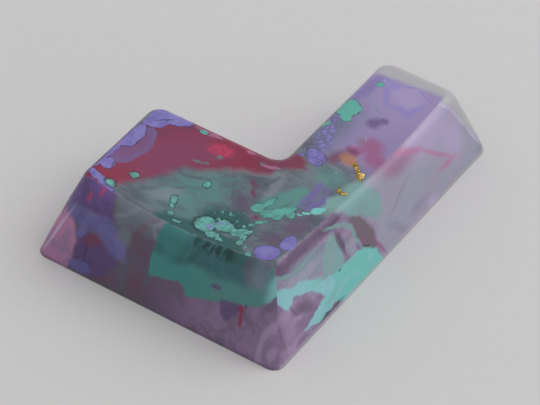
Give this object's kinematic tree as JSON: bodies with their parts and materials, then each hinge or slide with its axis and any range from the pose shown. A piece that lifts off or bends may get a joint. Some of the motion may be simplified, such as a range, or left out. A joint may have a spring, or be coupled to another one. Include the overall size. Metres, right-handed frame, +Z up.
{
  "type": "keycap",
  "caption": "L-shaped enter-style keycap cast in marbled translucent resin, with a dished top, a hollow underside and cross-socket stems.",
  "frame": {"origin": "middle of the footprint's bounding rectangle, on the plane of the rim", "axes": "+Z up through the top surface, +Y towards the end of the leg (the longest side), +X to the side the leg is on"},
  "size_m": [0.027, 0.0372, 0.0094],
  "materials": {
    "marbled_resin": "polished translucent cast resin with teal, lilac and crimson pigment swirls"
  },
  "bodies": {
    "root": {"keycap": "marbled_resin"}
  },
  "joints": []
}
